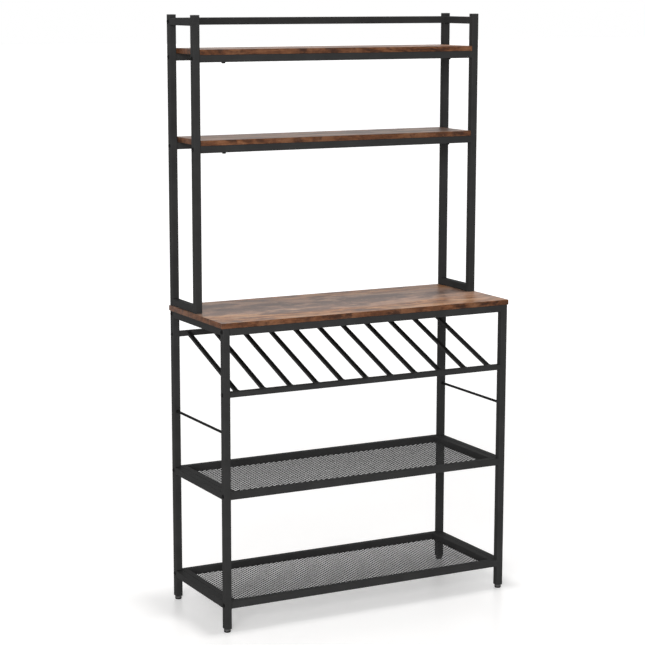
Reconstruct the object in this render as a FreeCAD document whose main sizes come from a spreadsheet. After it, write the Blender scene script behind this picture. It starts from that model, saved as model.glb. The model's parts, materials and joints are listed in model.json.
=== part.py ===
import FreeCAD, Part
import os
import re
import Sketcher
from FreeCAD import Rotation, Vector

# Bakers rack: a lower frame of square steel tube with a wooden tabletop, two mesh
# shelves and a sloping bottle rack, and a shallow hutch with two wooden shelves that
# stands on the back of the tabletop.
# Millimetres. The origin is on the floor under the middle of the rack, +X is to the
# right, the front faces -Y and +Z is up.

SIZES = {
    # Lower frame
    "frame_length": 992,          # over the posts, left to right
    "frame_depth": 392,           # over the posts, front to back
    "tube_size": 22,              # outside of the square tube
    "tube_wall": 1.2,
    "tube_corner": 2,             # outside radius of the tube's corners
    "tabletop_level": 933,        # top of the lower posts, underside of the tabletop
    "tabletop_thickness": 16,
    "tabletop_overhang": 4,       # past the posts at each end
    "board_bevel": 1,             # on every edge of the wooden boards
    # Mesh shelves
    "mesh_level": 74,             # underside of the lower mesh shelf
    "mesh_spacing": 338,          # from the lower mesh shelf to the upper one
    "mesh_lift": 6.5,             # from the underside of the shelf up to its mesh
    "mesh_thickness": 1.2,
    "mesh_bar": 9,                # between two openings of the plain grid
    # Bottle rack
    "wine_drop": 66.5,            # from the tabletop down to the rear rail's top
    "wine_rise": 126,             # from the front rail up to the rear rail
    "wine_rail_height": 16,
    "bar_width": 13,
    "bar_end_height": 10.6,       # of a bar's upright mitred end
    "bar_wall": 1,
    "bar_inset": 32,              # from a post to the middle of the outermost bar
    # Side rods for hooks
    "rod_diameter": 8,
    "rod_level": 614,
    # Hutch
    "hutch_depth": 196,
    "shelf_rise": 484,            # from the tabletop up to the lower shelf's rails
    "shelf_spacing": 269,         # from the lower shelf to the upper one
    "shelf_thickness": 16,
    "shelf_end_gap": 0.5,         # between a shelf board and a post
    "top_space": 101,             # from the upper shelf board up to the top of the rack
    "top_rail_drop": 10,          # from the top of the rack down to the top rails
    # Levelling feet and tube ends
    "pad_diameter": 21,
    "pad_height": 10.2,
    "pad_bevel": 2,
    "foot_gap": 0.3,              # between a pad and the plug when screwed right in
    "foot_travel": 10,            # how far a foot unscrews
    "stud_diameter": 8,
    "stud_spare": 8,              # stud above the plug with the foot unscrewed
    "stud_head_diameter": 14,
    "stud_head_height": 2.5,
    "stud_head_level": 3,         # rubber under the stud's head
    "plug_flange": 2,
    "plug_bevel": 1.2,
    "plug_length": 18,            # inside the tube
    "plug_clearance": 0.1,
    "cap_thickness": 2,
    "cap_bevel": 0.6,
    "cap_length": 12,             # inside the tube
    # Bolts, blocks, nuts and screws
    "bolt_diameter": 6,
    "bolt_head_diameter": 12.5,
    "bolt_head_height": 2.5,
    "bolt_head_bevel": 1,
    "bolt_spare": 1.5,            # bolt past the nut
    "block_length": 15,           # threaded block in the end of a rail
    "nut_size": 10,               # across flats
    "nut_height": 5,
    "socket_size": 4,             # hex key, across flats
    "socket_depth": 1.6,
    "screw_diameter": 4.4,
    "screw_head_diameter": 12,    # under the head
    "screw_tip_diameter": 8,      # at the end of the head
    "screw_head_height": 4,
    "screw_bite": 12,             # screw inside the wood
    "screw_inset": 81,            # from a post to a screw
    "point_bevel": 0.8,           # at the end of bolts, screws and studs
    "hutch_bolt_spacing": 80,     # between the two bolts under each side of the hutch
    "access_diameter": 14,        # for the key, under a head inside a tube
    "hole_clearance": 0.2,        # around a bolt or screw, on the radius
    "thread_clearance": 0.05,     # around a thread, on the radius
}

# Places of the bottle bars on each side of the middle one, as shares of the way to
# the outermost bar: the bars stand a little closer together near the middle.
BAR_PLACES = (0.194, 0.391, 0.593, 0.8, 1)

# Openings along the length and the depth of a mesh panel. The plain grid stands in for
# the small diamonds of expanded mesh and weighs about as much.
MESH_OPENING_COUNTS = (12, 6)

# Derived sizes and places, as expressions in the sheet's words.
INNER_LENGTH = "(frame_length - 2 * tube_size)"
INNER_DEPTH = "(frame_depth - 2 * tube_size)"
MESH_LENGTH = "(frame_length - 4 * tube_size)"
TUBE_INSIDE = "(tube_size - 2 * tube_wall)"
POST_X = "((frame_length - tube_size) / 2)"
BACK_Y = "((frame_depth - tube_size) / 2)"
HUTCH_FRONT_Y = "(frame_depth / 2 - hutch_depth + tube_size / 2)"
HUTCH_MIDDLE_Y = "((frame_depth - hutch_depth) / 2)"
HUTCH_INNER_DEPTH = "(hutch_depth - 2 * tube_size)"
POST_BOTTOM = "(pad_height + foot_gap + plug_flange)"
HALF_TUBE = "(tube_size / 2)"

LOWER_MESH = "mesh_level"
UPPER_MESH = "(mesh_level + mesh_spacing)"
FRAME_TOP_RAIL = "(tabletop_level - tube_size)"
WINE_REAR = "(tabletop_level - wine_drop - wine_rail_height)"
WINE_FRONT = "(tabletop_level - wine_drop - wine_rail_height - wine_rise)"
TABLETOP_TOP = "(tabletop_level + tabletop_thickness)"
LOWER_SHELF = "(tabletop_level + tabletop_thickness + shelf_rise)"
UPPER_SHELF = "(tabletop_level + tabletop_thickness + shelf_rise + shelf_spacing)"
RACK_TOP = f"({UPPER_SHELF} + tube_size + shelf_thickness + top_space)"
HUTCH_TOP_RAIL = f"({RACK_TOP} - top_rail_drop - tube_size)"

SCREW_X = f"({INNER_LENGTH} / 2 - screw_inset)"
BOLT_HOLE = "(bolt_diameter + 2 * hole_clearance)"
SCREW_HOLE = "(screw_diameter + 2 * hole_clearance)"
SIDES = (("left", "-1"), ("right", "1"))

# Which way a tube runs when its section is drawn on a plane.
ALONG = {
    "YZ_Plane": Vector(1, 0, 0),
    "XZ_Plane": Vector(0, 1, 0),
    "XY_Plane": Vector(0, 0, 1),
}

# Which way a bolt or screw points: its head is drawn towards +Z.
HEAD_UP = Rotation()
HEAD_DOWN = Rotation(Vector(1, 0, 0), 180)
HEAD_OUT = {"left": Rotation(Vector(0, 1, 0), -90), "right": Rotation(Vector(0, 1, 0), 90)}

SIZE_WORDS = re.compile(r"\b(" + "|".join(SIZES) + r")\b")

document = FreeCAD.newDocument("bakers_rack")
parts = []


def make_sheet():
    """The spreadsheet of driving dimensions, one named cell each."""
    sheet = document.addObject("Spreadsheet::Sheet", "Dimensions")
    for row, (alias, value) in enumerate(SIZES.items(), 1):
        sheet.set(f"A{row}", alias)
        sheet.set(f"B{row}", str(value))
        sheet.setAlias(f"B{row}", alias)
    document.recompute()


def bind(thing, name, expression):
    """Tie a property to an expression written in the sheet's words."""
    thing.setExpression(name, SIZE_WORDS.sub(r"Dimensions.\1", expression))


def place(thing, x, y, z, rotation=HEAD_UP):
    """Turn an object and tie its place to the sheet."""
    thing.Placement.Rotation = rotation
    bind(thing, "Placement.Base.x", x)
    bind(thing, "Placement.Base.y", y)
    bind(thing, "Placement.Base.z", z)


def keep(thing, label):
    """Name a finished sub-part and put it on the list of those written out."""
    thing.Label = label
    parts.append(thing)
    return thing


# ---------------------------------------------------------------- sketches


def make_body(name):
    return document.addObject("PartDesign::Body", name)


def make_sketch(body, plane, level="0"):
    """A sketch on one of the body's origin planes, or that far above it."""
    sketch = body.newObject("Sketcher::SketchObject", "Sketch")
    support = next(part for part in body.Origin.OriginFeatures if part.Role == plane)
    sketch.AttachmentSupport = [(support, "")]
    sketch.MapMode = "FlatFace"
    if level != "0":
        bind(sketch, "AttachmentOffset.Base.z", level)
    return sketch


def pin_point(sketch, geometry, point, x, y, start):
    """Hold a point at x, y from the sketch's origin."""
    for kind, other_axis, value, first in (
        ("DistanceX", -2, x, start.x),
        ("DistanceY", -1, y, start.y),
    ):
        if value == "0":
            sketch.addConstraint(
                Sketcher.Constraint("PointOnObject", geometry, point, other_axis)
            )
            continue
        index = sketch.addConstraint(
            Sketcher.Constraint(kind, -1, 1, geometry, point, first)
        )
        sketch.renameConstraint(index, f"place_{index}")
        bind(sketch, f"Constraints.place_{index}", value)


def draw_outline(sketch, points):
    """A closed outline of straight lines through points given as expressions."""
    first = sketch.GeometryCount
    count = len(points)
    start = [Vector(1 + corner, 1 + corner**2, 0) for corner in range(count)]
    for corner in range(count):
        line = Part.LineSegment(start[corner], start[(corner + 1) % count])
        sketch.addGeometry(line, False)
    for corner in range(count):
        following = first + (corner + 1) % count
        sketch.addConstraint(
            Sketcher.Constraint("Coincident", first + corner, 2, following, 1)
        )
    for corner, (x, y) in enumerate(points):
        pin_point(sketch, first + corner, 1, x, y, start[corner])


def draw_rectangle(sketch, width, height):
    """A rectangle about the sketch's origin."""
    draw_outline(
        sketch,
        [
            (f"-{width} / 2", f"-{height} / 2"),
            (f"{width} / 2", f"-{height} / 2"),
            (f"{width} / 2", f"{height} / 2"),
            (f"-{width} / 2", f"{height} / 2"),
        ],
    )


def draw_hexagon(sketch, across_flats):
    corner = f"{across_flats} / sqrt(3)"
    flat = f"{across_flats} / 2"
    draw_outline(
        sketch,
        [
            (corner, "0"),
            (f"{corner} / 2", flat),
            (f"-{corner} / 2", flat),
            (f"-{corner}", "0"),
            (f"-{corner} / 2", f"-{flat}"),
            (f"{corner} / 2", f"-{flat}"),
        ],
    )


def draw_circle(sketch, x, y, diameter):
    start = Vector(1 + sketch.GeometryCount, 2, 0)
    circle = sketch.addGeometry(Part.Circle(start, Vector(0, 0, 1), 1), False)
    pin_point(sketch, circle, 3, x, y, start)
    index = sketch.addConstraint(Sketcher.Constraint("Diameter", circle, 2))
    sketch.renameConstraint(index, f"diameter_{index}")
    bind(sketch, f"Constraints.diameter_{index}", diameter)


# ---------------------------------------------------------------- features


def pad(body, sketch, length, symmetric=False):
    feature = body.newObject("PartDesign::Pad", "Pad")
    feature.Profile = sketch
    bind(feature, "Length", length)
    if symmetric:
        feature.SideType = "Symmetric"
    return feature


def pocket(body, sketch, depth=None, reverse=False, symmetric=False):
    """Cut a sketch out, right through unless a depth is given."""
    feature = body.newObject("PartDesign::Pocket", "Pocket")
    feature.Profile = sketch
    if depth is None:
        feature.Type = "ThroughAll"
    else:
        bind(feature, "Length", depth)
    if symmetric:
        feature.SideType = "Symmetric"
    feature.Reversed = reverse
    return feature


def revolve(body, sketch):
    """Turn a half profile about the sketch's upright axis."""
    feature = body.newObject("PartDesign::Revolution", "Revolution")
    feature.Profile = sketch
    feature.ReferenceAxis = (sketch, ["V_Axis"])
    feature.Angle = 360
    return feature


def dress(body, kind, base, edges, size):
    """Round or bevel the numbered edges of the last feature."""
    feature = body.newObject(f"PartDesign::{kind}", kind)
    feature.Base = (base, [f"Edge{number}" for number in edges])
    bind(feature, "Radius" if kind == "Fillet" else "Size", size)
    return feature


def outer_corners(feature, direction):
    """Numbers of the edges along a tube that are farthest from its middle."""
    document.recompute()
    distances = {}
    for number, edge in enumerate(feature.Shape.Edges, 1):
        run = edge.Vertexes[-1].Point - edge.Vertexes[0].Point
        if run.Length and abs(run.normalize().dot(direction)) > 0.99:
            middle = edge.CenterOfMass
            distances[number] = (middle - direction * middle.dot(direction)).Length
    farthest = max(distances.values())
    return [number for number, far in distances.items() if far > 0.99 * farthest]


def edges_at_level(feature, level_of):
    """Numbers of the level edges at the top or bottom of a shape."""
    document.recompute()
    box = feature.Shape.BoundBox
    level = box.ZMax if level_of == "top" else box.ZMin
    return [
        number
        for number, edge in enumerate(feature.Shape.Edges, 1)
        if abs(edge.BoundBox.ZMin - level) < 1e-4 and abs(edge.BoundBox.ZMax - level) < 1e-4
    ]


# ---------------------------------------------------------------- tubes


def make_tube_body(label, plane, length, height="tube_size", level=None):
    """A length of rectangular tube: centred on a plane, or standing at a level."""
    body = make_body(label)
    section = make_sketch(body, plane, level or "0")
    draw_rectangle(section, "tube_size", height)
    draw_rectangle(section, TUBE_INSIDE, f"({height} - 2 * tube_wall)")
    run = pad(body, section, length, symmetric=level is None)
    dress(body, "Fillet", run, outer_corners(run, ALONG[plane]), "tube_corner")
    return body


def make_tube(label, plane, length, height="tube_size", level=None):
    return keep(make_tube_body(label, plane, length, height, level), label)


def drill_through(body, plane, spots, diameter):
    """Round holes right through a tube, across the plane."""
    holes = make_sketch(body, plane)
    for x, y in spots:
        draw_circle(holes, x, y, diameter)
    pocket(body, holes, symmetric=True)


def drill_below(body, spots, diameter):
    """Round holes through a tube's lower wall alone."""
    holes = make_sketch(body, "XY_Plane")
    for x, y in spots:
        draw_circle(holes, x, y, diameter)
    pocket(body, holes)


def make_post(label, bottom, top, x, y, bolt_levels):
    """An upright tube, drilled for the bolts that hold the cross rails."""
    post = make_tube(label, "XY_Plane", f"({top} - {bottom})", level=bottom)
    drill_through(post, "YZ_Plane", [("0", level) for level in bolt_levels], BOLT_HOLE)
    place(post, x, y, "0")
    return post


def make_cross_rail(label, y, bottom, height="tube_size"):
    """A tube between the left and the right posts."""
    rail = make_tube(label, "YZ_Plane", INNER_LENGTH, height)
    place(rail, "0", y, f"{bottom} + {height} / 2")
    return rail


def make_side_rail(label, length, sign, y, bottom):
    """A tube between a front and a back post."""
    rail = make_tube(label, "XZ_Plane", length)
    place(rail, f"{sign} * {POST_X}", y, f"{bottom} + {HALF_TUBE}")
    return rail


# ---------------------------------------------------------------- small pieces


def make_bolt(name, length, head_diameter, head_end_diameter, head_height, head_bevel, thread):
    """A bolt or screw about Z: its head stands on the plane z = 0, its shank hangs below."""
    bolt = make_body(name)
    half = make_sketch(bolt, "XZ_Plane")
    draw_outline(
        half,
        [
            ("0", f"-{length}"),
            (f"{thread} / 2 - point_bevel", f"-{length}"),
            (f"{thread} / 2", f"-{length} + point_bevel"),
            (f"{thread} / 2", "0"),
            (f"{head_diameter} / 2", "0"),
            (f"{head_end_diameter} / 2", f"{head_height} - {head_bevel}"),
            (f"{head_end_diameter} / 2 - {head_bevel}", head_height),
            ("0", head_height),
        ],
    )
    revolve(bolt, half)
    key = make_sketch(bolt, "XY_Plane", head_height)
    draw_hexagon(key, "socket_size")
    pocket(bolt, key, depth="socket_depth")
    return bolt


def make_frame_bolt(name, length):
    return make_bolt(
        name,
        length,
        "bolt_head_diameter",
        "bolt_head_diameter",
        "bolt_head_height",
        "bolt_head_bevel",
        "bolt_diameter",
    )


def make_wood_screw(name, length):
    return make_bolt(
        name,
        length,
        "screw_head_diameter",
        "screw_tip_diameter",
        "screw_head_height",
        "point_bevel",
        "screw_diameter",
    )


def make_block(name, height):
    """The threaded block that fills the end of a rail, bored along X."""
    block = make_body(name)
    section = make_sketch(block, "YZ_Plane")
    draw_rectangle(section, TUBE_INSIDE, f"({height} - 2 * tube_wall)")
    pad(block, section, "block_length", symmetric=True)
    thread = make_sketch(block, "YZ_Plane")
    draw_circle(thread, "0", "0", "bolt_diameter + 2 * thread_clearance")
    pocket(block, thread, symmetric=True)
    return block


def make_nut(name):
    """A hexagon nut standing on the plane z = 0."""
    nut = make_body(name)
    outside = make_sketch(nut, "XY_Plane")
    draw_hexagon(outside, "nut_size")
    pad(nut, outside, "nut_height")
    thread = make_sketch(nut, "XY_Plane")
    draw_circle(thread, "0", "0", "bolt_diameter + 2 * thread_clearance")
    pocket(nut, thread, symmetric=True)
    return nut


def make_tube_end(name, flange, bevel, length, bored):
    """A square end piece for a tube: its flange lies under z = 0, its body above."""
    end = make_body(name)
    outside = make_sketch(end, "XY_Plane", f"-{flange}")
    draw_rectangle(outside, "tube_size", "tube_size")
    plate = pad(end, outside, flange)
    rounded = dress(end, "Fillet", plate, outer_corners(plate, Vector(0, 0, 1)), "tube_corner")
    dress(end, "Chamfer", rounded, edges_at_level(rounded, "bottom"), bevel)
    inside = make_sketch(end, "XY_Plane")
    width = f"({TUBE_INSIDE} - 2 * plug_clearance)"
    draw_rectangle(inside, width, width)
    pad(end, inside, length)
    if bored:
        thread = make_sketch(end, "XY_Plane")
        draw_circle(thread, "0", "0", "stud_diameter + 2 * thread_clearance")
        pocket(end, thread, symmetric=True)
    return end


def make_group(label, piece, spots):
    """Copies of one small piece as one sub-part of separate solids."""
    copies = []
    for x, y, z, rotation in spots:
        copy = document.addObject("App::Link", f"{label}_copy")
        copy.LinkedObject = piece
        place(copy, x, y, z, rotation)
        copies.append(copy)
    group = document.addObject("Part::Compound", label)
    group.Links = copies
    return keep(group, label)


# ---------------------------------------------------------------- wood


def make_board(label, length, depth, thickness, y, bottom, screw_spots, bolt_spots=()):
    """A wooden board with bevelled edges, drilled from below for its screws."""
    board = make_body(label)
    outline = make_sketch(board, "XY_Plane")
    draw_rectangle(outline, length, depth)
    slab = pad(board, outline, thickness)
    document.recompute()
    dress(board, "Chamfer", slab, range(1, len(slab.Shape.Edges) + 1), "board_bevel")
    pilots = make_sketch(board, "XY_Plane")
    for x, at in screw_spots:
        draw_circle(pilots, x, at, "screw_diameter + 2 * thread_clearance")
    pocket(board, pilots, depth="screw_bite", reverse=True)
    if bolt_spots:
        drill_through(board, "XY_Plane", bolt_spots, BOLT_HOLE)
    place(board, "0", y, bottom)
    return keep(board, label)


# ---------------------------------------------------------------- the rack

CORNERS = [(end, side, sign) for end in ("front", "back") for side, sign in SIDES]
MESH_LEVELS = (("lower", LOWER_MESH), ("upper", UPPER_MESH))
SHELF_LEVELS = (("lower", LOWER_SHELF), ("upper", UPPER_SHELF))
ROWS = (("front", "-1"), ("back", "1"))


def screw_spots(half_depth):
    """Where the screws meet a board that is held at its front and back edges."""
    return [(f"{sign} * {SCREW_X}", f"{row} * {half_depth}") for _, row in ROWS for _, sign in SIDES]


def hutch_bolt_spots(middle):
    """Where the hutch is bolted down, two bolts on each side."""
    return [
        (f"{sign} * {POST_X}", f"({middle}) + {row} * hutch_bolt_spacing / 2")
        for _, sign in SIDES
        for _, row in ROWS
    ]


def make_lower_posts():
    wine_levels = {"front": WINE_FRONT, "back": WINE_REAR}
    for end, side, sign in CORNERS:
        bolt_levels = [f"{bottom} + {HALF_TUBE}" for bottom in (LOWER_MESH, UPPER_MESH, FRAME_TOP_RAIL)]
        bolt_levels.append(f"{wine_levels[end]} + wine_rail_height / 2")
        row = dict(ROWS)[end]
        make_post(
            f"lower_post_{end}_{side}",
            POST_BOTTOM,
            "tabletop_level",
            f"{sign} * {POST_X}",
            f"{row} * {BACK_Y}",
            bolt_levels,
        )


def make_tabletop_rails():
    """The rails right under the tabletop, drilled for its screws and the hutch's bolts."""
    for end, row in ROWS:
        rail = make_cross_rail(f"tabletop_rail_{end}", f"{row} * {BACK_Y}", FRAME_TOP_RAIL)
        spots = [(f"{sign} * {SCREW_X}", "0") for _, sign in SIDES]
        drill_through(rail, "XY_Plane", spots, SCREW_HOLE)
        drill_below(rail, spots, "access_diameter")
    for side, sign in SIDES:
        rail = make_side_rail(f"tabletop_rail_{side}", INNER_DEPTH, sign, "0", FRAME_TOP_RAIL)
        spots = [
            ("0", f"{HUTCH_MIDDLE_Y} - hutch_bolt_spacing / 2"),
            ("0", f"{HUTCH_MIDDLE_Y} + hutch_bolt_spacing / 2"),
        ]
        drill_through(rail, "XY_Plane", spots, BOLT_HOLE)
        drill_below(rail, spots, "access_diameter")


def make_mesh_panel(label, bottom):
    """A thin panel with a grid of openings: one is cut at its corner, then repeated."""
    along, across = MESH_OPENING_COUNTS
    panel = make_body(label)
    outline = make_sketch(panel, "XY_Plane")
    draw_rectangle(outline, MESH_LENGTH, INNER_DEPTH)
    pad(panel, outline, "mesh_thickness")
    left = f"mesh_bar / 2 - {MESH_LENGTH} / 2"
    right = f"{MESH_LENGTH} / {along} - mesh_bar / 2 - {MESH_LENGTH} / 2"
    front = f"mesh_bar / 2 - {INNER_DEPTH} / 2"
    back = f"{INNER_DEPTH} / {across} - mesh_bar / 2 - {INNER_DEPTH} / 2"
    corner = make_sketch(panel, "XY_Plane")
    draw_outline(corner, [(left, front), (right, front), (right, back), (left, back)])
    opening = pocket(panel, corner, symmetric=True)
    grid = panel.newObject("PartDesign::LinearPattern", "LinearPattern")
    grid.Originals = [opening]
    grid.Direction = (corner, ["H_Axis"])
    grid.Direction2 = (corner, ["V_Axis"])
    bind(grid, "Length", f"{MESH_LENGTH} * {along - 1} / {along}")
    bind(grid, "Length2", f"{INNER_DEPTH} * {across - 1} / {across}")
    grid.Occurrences = along
    grid.Occurrences2 = across
    panel.Tip = grid
    place(panel, "0", "0", bottom)
    return keep(panel, label)


def make_mesh_shelves():
    """Two shelves of mesh, each with a tube along both ends, against the side rails."""
    for name, level in MESH_LEVELS:
        for end, row in ROWS:
            make_cross_rail(f"{name}_mesh_rail_{end}", f"{row} * {BACK_Y}", level)
        for side, sign in SIDES:
            make_side_rail(f"{name}_mesh_rail_{side}", INNER_DEPTH, sign, "0", level)
        make_mesh_panel(f"{name}_mesh_panel", f"{level} + mesh_lift")

    tube = make_tube_body("mesh_end_tube", "XZ_Plane", INNER_DEPTH)
    spots = [
        (f"{sign} * ({INNER_LENGTH} - tube_size) / 2", "0", f"{level} + {HALF_TUBE}", HEAD_UP)
        for _, level in MESH_LEVELS
        for _, sign in SIDES
    ]
    make_group("mesh_end_tubes", tube, spots)


def make_bottle_rack():
    """Eleven hollow bars slope down from the rear rail to the front rail."""
    make_cross_rail("wine_rail_front", f"-{BACK_Y}", WINE_FRONT, "wine_rail_height")
    make_cross_rail("wine_rail_rear", BACK_Y, WINE_REAR, "wine_rail_height")
    front_top = f"({WINE_FRONT} + wine_rail_height)"
    rear_top = f"({WINE_REAR} + (wine_rail_height + bar_end_height) / 2)"
    bar = make_body("wine_bar")
    for inside in ("0", "bar_wall"):
        outline = make_sketch(bar, "YZ_Plane")
        draw_outline(
            outline,
            [
                (f"-{INNER_DEPTH} / 2", f"{front_top} - bar_end_height + {inside}"),
                (f"{INNER_DEPTH} / 2", f"{rear_top} - bar_end_height + {inside}"),
                (f"{INNER_DEPTH} / 2", f"{rear_top} - {inside}"),
                (f"-{INNER_DEPTH} / 2", f"{front_top} - {inside}"),
            ],
        )
        if inside == "0":
            pad(bar, outline, "bar_width", symmetric=True)
        else:
            pocket(bar, outline, depth="bar_width - 2 * bar_wall", symmetric=True)
    outermost = f"({INNER_LENGTH} / 2 - bar_inset)"
    middles = ["0"] + [f"{sign} * {share} * {outermost}" for _, sign in SIDES for share in BAR_PLACES]
    make_group("wine_bars", bar, [(x, "0", "0", HEAD_UP) for x in middles])


def make_hook_rods():
    for side, sign in SIDES:
        rod = document.addObject("Part::Cylinder", f"hook_rod_{side}")
        bind(rod, "Radius", "rod_diameter / 2")
        bind(rod, "Height", INNER_DEPTH)
        lying = Rotation(Vector(1, 0, 0), -90)
        place(rod, f"{sign} * {POST_X}", f"-{INNER_DEPTH} / 2", "rod_level", lying)
        keep(rod, f"hook_rod_{side}")


def make_tabletop():
    make_board(
        "tabletop",
        "(frame_length + 2 * tabletop_overhang)",
        "frame_depth",
        "tabletop_thickness",
        "0",
        "tabletop_level",
        screw_spots(BACK_Y),
        hutch_bolt_spots(HUTCH_MIDDLE_Y),
    )


def make_hutch_posts():
    for end, side, sign in CORNERS:
        bolt_levels = [f"{bottom} + {HALF_TUBE}" for bottom in (LOWER_SHELF, UPPER_SHELF)]
        if end == "back":
            bolt_levels.append(f"{HUTCH_TOP_RAIL} + {HALF_TUBE}")
        make_post(
            f"hutch_post_{end}_{side}",
            TABLETOP_TOP,
            f"({RACK_TOP} - cap_thickness)",
            f"{sign} * {POST_X}",
            HUTCH_FRONT_Y if end == "front" else BACK_Y,
            bolt_levels,
        )


def make_hutch_rails():
    """Side rails at the foot and the top of the hutch, and its top rail at the back."""
    for side, sign in SIDES:
        foot = make_side_rail(
            f"hutch_foot_rail_{side}", HUTCH_INNER_DEPTH, sign, HUTCH_MIDDLE_Y, TABLETOP_TOP
        )
        spots = [("0", "-hutch_bolt_spacing / 2"), ("0", "hutch_bolt_spacing / 2")]
        drill_below(foot, spots, BOLT_HOLE)
        make_side_rail(
            f"hutch_top_rail_{side}", HUTCH_INNER_DEPTH, sign, HUTCH_MIDDLE_Y, HUTCH_TOP_RAIL
        )
    make_cross_rail("hutch_top_rail_back", BACK_Y, HUTCH_TOP_RAIL)


def make_hutch_shelves():
    """Boards that lie on a front and a back rail each and are screwed from below."""
    for name, level in SHELF_LEVELS:
        for end, y in (("front", HUTCH_FRONT_Y), ("back", BACK_Y)):
            rail = make_cross_rail(f"{name}_shelf_rail_{end}", y, level)
            spots = [(f"{sign} * {SCREW_X}", "0") for _, sign in SIDES]
            drill_through(rail, "XY_Plane", spots, SCREW_HOLE)
        make_board(
            f"{name}_shelf_board",
            f"({INNER_LENGTH} - 2 * shelf_end_gap)",
            "hutch_depth",
            "shelf_thickness",
            HUTCH_MIDDLE_Y,
            f"{level} + tube_size",
            screw_spots("(hutch_depth - tube_size) / 2"),
        )


def rail_end_spots(rails, from_middle):
    """Both ends of each rail in a list of (y, middle height), that far from x = 0."""
    return [
        (f"{sign} * {from_middle}", y, level, HEAD_OUT[side])
        for y, level in rails
        for side, sign in SIDES
    ]


def make_rail_fixings():
    """A bolt through each post into a threaded block in the end of each cross rail."""
    square = [
        (f"{row} * {BACK_Y}", f"{bottom} + {HALF_TUBE}")
        for _, row in ROWS
        for bottom in (LOWER_MESH, UPPER_MESH, FRAME_TOP_RAIL)
    ]
    wine = [
        (f"-{BACK_Y}", f"{WINE_FRONT} + wine_rail_height / 2"),
        (BACK_Y, f"{WINE_REAR} + wine_rail_height / 2"),
    ]
    hutch = [
        (y, f"{bottom} + {HALF_TUBE}")
        for y in (HUTCH_FRONT_Y, BACK_Y)
        for bottom in (LOWER_SHELF, UPPER_SHELF)
    ]
    hutch.append((BACK_Y, f"{HUTCH_TOP_RAIL} + {HALF_TUBE}"))

    bolt = make_frame_bolt("frame_bolt", "(tube_size + block_length)")
    outside = "frame_length / 2"
    make_group("lower_frame_bolts", bolt, rail_end_spots(square + wine, outside))
    make_group("hutch_frame_bolts", bolt, rail_end_spots(hutch, outside))

    block_middle = f"({INNER_LENGTH} - block_length) / 2"
    for label, height, rails in (
        ("lower_rail_end_blocks", "tube_size", square),
        ("wine_rail_end_blocks", "wine_rail_height", wine),
        ("hutch_rail_end_blocks", "tube_size", hutch),
    ):
        block = make_block(f"{label}_block", height)
        spots = rail_end_spots(rails, block_middle)
        make_group(label, block, [(x, y, z, HEAD_UP) for x, y, z, _ in spots])


def make_hutch_fixings():
    """Bolts up through the tabletop into nuts welded inside the hutch's foot rails."""
    clamped = "(tube_wall + tabletop_thickness + tube_wall)"
    bolt = make_frame_bolt("hutch_bolt", f"({clamped} + nut_height + bolt_spare)")
    spots = hutch_bolt_spots(HUTCH_MIDDLE_Y)
    make_group("hutch_bolts", bolt, [(x, y, "tabletop_level - tube_wall", HEAD_DOWN) for x, y in spots])
    nut_level = f"{TABLETOP_TOP} + tube_wall"
    make_group("hutch_nuts", make_nut("hutch_nut"), [(x, y, nut_level, HEAD_UP) for x, y in spots])


def make_board_screws():
    """Screws hidden inside the tabletop's rails, and longer ones under the shelf rails."""
    short = make_wood_screw("tabletop_screw", "(tube_wall + screw_bite)")
    spots = screw_spots(BACK_Y)
    level = "tabletop_level - tube_wall"
    make_group("tabletop_screws", short, [(x, y, level, HEAD_DOWN) for x, y in spots])
    long = make_wood_screw("shelf_screw", "(tube_size + screw_bite)")
    for name, level in SHELF_LEVELS:
        spots = [
            (f"{sign} * {SCREW_X}", y, level, HEAD_DOWN)
            for y in (HUTCH_FRONT_Y, BACK_Y)
            for _, sign in SIDES
        ]
        make_group(f"{name}_shelf_screws", long, spots)


def make_tube_ends():
    """Bored plugs under the lower posts, and flat caps on the hutch posts."""
    plug = make_tube_end("foot_plug", "plug_flange", "plug_bevel", "plug_length", bored=True)
    spots = [
        (f"{sign} * {POST_X}", f"{row} * {BACK_Y}", POST_BOTTOM, HEAD_UP)
        for _, row in ROWS
        for _, sign in SIDES
    ]
    make_group("foot_plugs", plug, spots)
    cap = make_tube_end("post_cap", "cap_thickness", "cap_bevel", "cap_length", bored=False)
    spots = [
        (f"{sign} * {POST_X}", y, f"{RACK_TOP} - cap_thickness", HEAD_DOWN)
        for y in (HUTCH_FRONT_Y, BACK_Y)
        for _, sign in SIDES
    ]
    make_group("hutch_post_caps", cap, spots)


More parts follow.
